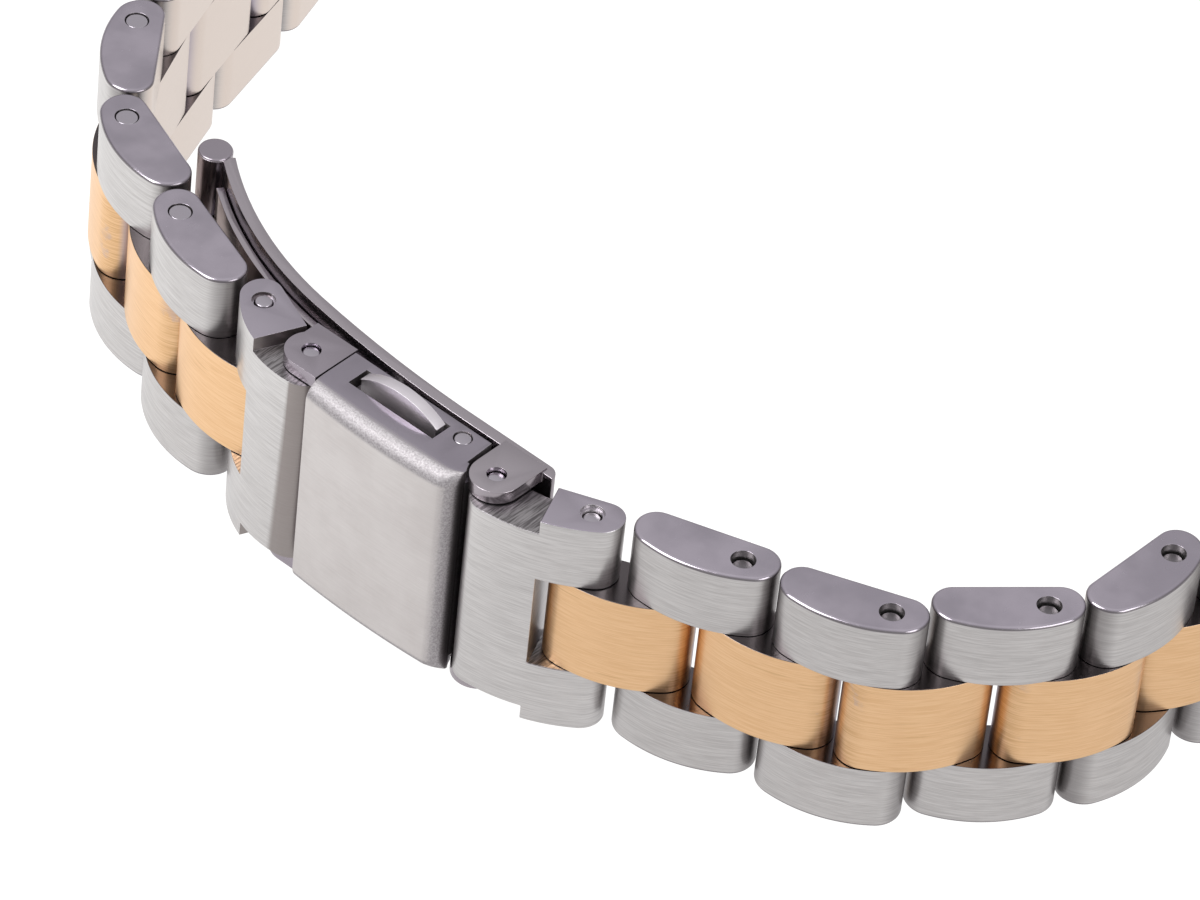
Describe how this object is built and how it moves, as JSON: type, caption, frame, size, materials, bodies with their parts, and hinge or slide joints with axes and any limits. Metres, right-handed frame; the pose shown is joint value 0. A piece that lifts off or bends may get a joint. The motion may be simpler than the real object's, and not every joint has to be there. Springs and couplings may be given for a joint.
{
  "type": "metal watch bracelet",
  "caption": "Solid-link watch bracelet in steel and gold colour with a folding push-button clasp and straight end links on sprung bars",
  "frame": {"origin": "middle of the bounding box in X and Y, at its lowest height, which is the lower push button's outer edge", "axes": "+Z along the link pins, from one side face to the other; +X along the clasp; +Y from the clasp to the wrist"},
  "size_m": [0.0912, 0.0576, 0.0179],
  "materials": {
    "side_steel": "brushed outside, polished at the sides",
    "centre_gold": "brushed gold colour outside, bare steel at the sides",
    "end_steel": "brushed outside, polished arms, milled ledges",
    "cover_steel": "brushed outside, blasted rounded edges",
    "blade_steel": "polished strip",
    "pin_steel": "polished",
    "button_steel": "brushed with polished edge",
    "spring_steel": "bright wire"
  },
  "bodies": {
    "bottom_blade": {"bottom_blade": "blade_steel", "catch_post": "blade_steel", "knuckle_pin": "pin_steel", "right_ear_pin": "pin_steel"},
    "middle_blade": {"middle_blade": "blade_steel"},
    "cover": {"cover_shell": "cover_steel", "cover_cross_pin": "pin_steel", "ear_bracket": "blade_steel", "left_ear_pin": "pin_steel", "upper_button_springs": "spring_steel", "lower_button_springs": "spring_steel"},
    "button_upper": {"push_button_upper": "button_steel"},
    "button_lower": {"push_button_lower": "button_steel"},
    "right_end": {"right_end_link": "end_steel", "right_end_pin": "pin_steel"},
    "left_end": {"left_end_link": "end_steel", "left_end_pin": "pin_steel"},
    "link_r1_centre": {"centre_link_r1": "centre_gold"},
    "link_r1_side": {"side_links_r1": "side_steel"},
    "link_r2_centre": {"centre_link_r2": "centre_gold"},
    "link_r2_side": {"side_links_r2": "side_steel"},
    "link_r3_centre": {"centre_link_r3": "centre_gold"},
    "link_r3_side": {"side_links_r3": "side_steel"},
    "link_r4_centre": {"centre_link_r4": "centre_gold"},
    "link_r4_side": {"side_links_r4": "side_steel"},
    "link_r5_centre": {"centre_link_r5": "centre_gold"},
    "link_r5_side": {"side_links_r5": "side_steel"},
    "link_r6_centre": {"centre_link_r6": "centre_gold"},
    "link_r6_side": {"side_links_r6": "side_steel"},
    "link_r7_centre": {"centre_link_r7": "centre_gold"},
    "link_r7_side": {"side_links_r7": "side_steel"},
    "head_right": {"head_end_link_right": "end_steel", "right_bar_tube": "pin_steel"},
    "link_l1_centre": {"centre_link_l1": "centre_gold"},
    "link_l1_side": {"side_links_l1": "side_steel"},
    "link_l2_centre": {"centre_link_l2": "centre_gold"},
    "link_l2_side": {"side_links_l2": "side_steel"},
    "link_l3_centre": {"centre_link_l3": "centre_gold"},
    "link_l3_side": {"side_links_l3": "side_steel"},
    "link_l4_centre": {"centre_link_l4": "centre_gold"},
    "link_l4_side": {"side_links_l4": "side_steel"},
    "link_l5_centre": {"centre_link_l5": "centre_gold"},
    "link_l5_side": {"side_links_l5": "side_steel"},
    "link_l6_centre": {"centre_link_l6": "centre_gold"},
    "link_l6_side": {"side_links_l6": "side_steel"},
    "head_left": {"head_end_link_left": "end_steel", "left_bar_tube": "pin_steel"},
    "tip_right_upper": {"right_bar_tip_upper": "pin_steel"},
    "tip_right_lower": {"right_bar_tip_lower": "pin_steel"},
    "tip_left_upper": {"left_bar_tip_upper": "pin_steel"},
    "tip_left_lower": {"left_bar_tip_lower": "pin_steel"}
  },
  "joints": [
    {"name": "right_end_hinge", "type": "hinge", "parent": "bottom_blade", "child": "right_end", "pos_m": [0.00953, -0.02593, 0.00895], "axis": [0, 0, 1], "range_deg": [-20, 5]},
    {"name": "hinge_r1_centre", "type": "hinge", "parent": "right_end", "child": "link_r1_centre", "pos_m": [0.01568, -0.0243, 0.00895], "axis": [0, 0, 1], "range_deg": [-22.5, 32.5]},
    {"name": "hinge_r1_side", "type": "hinge", "parent": "link_r1_centre", "child": "link_r1_side", "pos_m": [0.01994, -0.02232, 0.00895], "axis": [0, 0, -1], "range_deg": [-41, 14]},
    {"name": "hinge_r2_centre", "type": "hinge", "parent": "link_r1_side", "child": "link_r2_centre", "pos_m": [0.02438, -0.02079, 0.00895], "axis": [0, 0, 1], "range_deg": [-16, 39]},
    {"name": "hinge_r2_side", "type": "hinge", "parent": "link_r2_centre", "child": "link_r2_side", "pos_m": [0.02892, -0.01957, 0.00895], "axis": [0, 0, -1], "range_deg": [-28, 27]},
    {"name": "hinge_r3_centre", "type": "hinge", "parent": "link_r2_side", "child": "link_r3_centre", "pos_m": [0.03328, -0.01781, 0.00895], "axis": [0, 0, 1], "range_deg": [-52, 3]},
    {"name": "hinge_r3_side", "type": "hinge", "parent": "link_r3_centre", "child": "link_r3_side", "pos_m": [0.03604, -0.01401, 0.00895], "axis": [0, 0, -1], "range_deg": [-42, 13]},
    {"name": "hinge_r4_centre", "type": "hinge", "parent": "link_r3_side", "child": "link_r4_centre", "pos_m": [0.03925, -0.01057, 0.00895], "axis": [0, 0, 1], "range_deg": [-36, 19]},
    {"name": "hinge_r4_side", "type": "hinge", "parent": "link_r4_centre", "child": "link_r4_side", "pos_m": [0.04138, -0.00638, 0.00895], "axis": [0, 0, -1], "range_deg": [-9, 46]},
    {"name": "hinge_r5_centre", "type": "hinge", "parent": "link_r4_side", "child": "link_r5_centre", "pos_m": [0.04147, -0.00168, 0.00895], "axis": [0, 0, 1], "range_deg": [-3, 52]},
    {"name": "hinge_r5_side", "type": "hinge", "parent": "link_r5_centre", "child": "link_r5_side", "pos_m": [0.04292, 0.00279, 0.00895], "axis": [0, 0, -1], "range_deg": [-25, 30]},
    {"name": "hinge_r6_centre", "type": "hinge", "parent": "link_r5_side", "child": "link_r6_centre", "pos_m": [0.04357, 0.00744, 0.00895], "axis": [0, 0, 1], "range_deg": [-28, 27]},
    {"name": "hinge_r6_side", "type": "hinge", "parent": "link_r6_centre", "child": "link_r6_side", "pos_m": [0.04357, 0.01214, 0.00895], "axis": [0, 0, -1], "range_deg": [-25, 30]},
    {"name": "hinge_r7_centre", "type": "hinge", "parent": "link_r6_side", "child": "link_r7_centre", "pos_m": [0.04276, 0.01677, 0.00895], "axis": [0, 0, 1], "range_deg": [-34, 21]},
    {"name": "hinge_r7_side", "type": "hinge", "parent": "link_r7_centre", "child": "link_r7_side", "pos_m": [0.04084, 0.02106, 0.00895], "axis": [0, 0, -1], "range_deg": [-19, 36]},
    {"name": "hinge_head_right", "type": "hinge", "parent": "link_r7_side", "child": "head_right", "pos_m": [0.03782, 0.02466, 0.00895], "axis": [0, 0, 1], "range_deg": [-42, 13]},
    {"name": "left_end_hinge", "type": "hinge", "parent": "cover", "child": "left_end", "pos_m": [-0.00547, -0.02593, 0.00895], "axis": [0, 0, -1], "range_deg": [-30, 2]},
    {"name": "hinge_l1_centre", "type": "hinge", "parent": "left_end", "child": "link_l1_centre", "pos_m": [-0.0105, -0.02476, 0.00895], "axis": [0, 0, -1], "range_deg": [-10, 3]},
    {"name": "hinge_l1_side", "type": "hinge", "parent": "link_l1_centre", "child": "link_l1_side", "pos_m": [-0.01517, -0.02419, 0.00895], "axis": [0, 0, 1], "range_deg": [-5, 33]},
    {"name": "hinge_l2_centre", "type": "hinge", "parent": "link_l1_side", "child": "link_l2_centre", "pos_m": [-0.01958, -0.02258, 0.00895], "axis": [0, 0, -1], "range_deg": [-30, 10]},
    {"name": "hinge_l2_side", "type": "hinge", "parent": "link_l2_centre", "child": "link_l2_side", "pos_m": [-0.02365, -0.02023, 0.00895], "axis": [0, 0, 1], "range_deg": [-42, 11]},
    {"name": "hinge_l3_centre", "type": "hinge", "parent": "link_l2_side", "child": "link_l3_centre", "pos_m": [-0.02804, -0.01855, 0.00895], "axis": [0, 0, -1], "range_deg": [-46, 9]},
    {"name": "hinge_l3_side", "type": "hinge", "parent": "link_l3_centre", "child": "link_l3_side", "pos_m": [-0.03125, -0.01511, 0.00895], "axis": [0, 0, 1], "range_deg": [-30, 25]},
    {"name": "hinge_l4_centre", "type": "hinge", "parent": "link_l3_side", "child": "link_l4_centre", "pos_m": [-0.03414, -0.01141, 0.00895], "axis": [0, 0, -1], "range_deg": [-34, 21]},
    {"name": "hinge_l4_side", "type": "hinge", "parent": "link_l4_centre", "child": "link_l4_side", "pos_m": [-0.03605, -0.00711, 0.00895], "axis": [0, 0, 1], "range_deg": [-31, 24]},
    {"name": "hinge_l5_centre", "type": "hinge", "parent": "link_l4_side", "child": "link_l5_centre", "pos_m": [-0.03766, -0.0027, 0.00895], "axis": [0, 0, -1], "range_deg": [-23, 32]},
    {"name": "hinge_l5_side", "type": "hinge", "parent": "link_l5_centre", "child": "link_l5_side", "pos_m": [-0.03903, 0.0018, 0.00895], "axis": [0, 0, 1], "range_deg": [-33, 22]},
    {"name": "hinge_l6_centre", "type": "hinge", "parent": "link_l5_side", "child": "link_l6_centre", "pos_m": [-0.04025, 0.00634, 0.00895], "axis": [0, 0, -1], "range_deg": [-19, 36]},
    {"name": "hinge_l6_side", "type": "hinge", "parent": "link_l6_centre", "child": "link_l6_side", "pos_m": [-0.04155, 0.01086, 0.00895], "axis": [0, 0, 1], "range_deg": [-37, 18]},
    {"name": "hinge_head_left", "type": "hinge", "parent": "link_l6_side", "child": "head_left", "pos_m": [-0.043, 0.01533, 0.00895], "axis": [0, 0, -1], "range_deg": [-28, 27]},
    {"name": "clasp_knuckle", "type": "hinge", "parent": "bottom_blade", "child": "middle_blade", "pos_m": [-0.02226, -0.01668, 0.00895], "axis": [0, 0, -1], "range_deg": [0, 44]},
    {"name": "cover_hinge", "type": "hinge", "parent": "middle_blade", "child": "cover", "pos_m": [0.00603, -0.02506, 0.00895], "axis": [0, 0, 1], "range_deg": [0, 88]},
    {"name": "push_button_upper", "type": "slide", "parent": "cover", "child": "button_upper", "axis": [0, 0, -1], "range_m": [0, 0.0008], "stiffness_N_per_m": 300, "springref_m": -0.0008, "deforming": ["upper_button_springs"]},
    {"name": "push_button_lower", "type": "slide", "parent": "cover", "child": "button_lower", "axis": [0, 0, 1], "range_m": [0, 0.0008], "stiffness_N_per_m": 300, "springref_m": -0.0008, "deforming": ["lower_button_springs"]},
    {"name": "tip_right_upper", "type": "slide", "parent": "head_right", "child": "tip_right_upper", "axis": [0, 0, -1], "range_m": [0, 0.0009], "stiffness_N_per_m": 400, "springref_m": -0.0009},
    {"name": "tip_right_lower", "type": "slide", "parent": "head_right", "child": "tip_right_lower", "axis": [0, 0, 1], "range_m": [0, 0.0009], "stiffness_N_per_m": 400, "springref_m": -0.0009},
    {"name": "tip_left_upper", "type": "slide", "parent": "head_left", "child": "tip_left_upper", "axis": [0, 0, -1], "range_m": [0, 0.0009], "stiffness_N_per_m": 400, "springref_m": -0.0009},
    {"name": "tip_left_lower", "type": "slide", "parent": "head_left", "child": "tip_left_lower", "axis": [0, 0, 1], "range_m": [0, 0.0009], "stiffness_N_per_m": 400, "springref_m": -0.0009}
  ],
  "couplings": [
    {"joint": "cover_hinge", "follows": "clasp_knuckle", "ratio": 2}
  ]
}
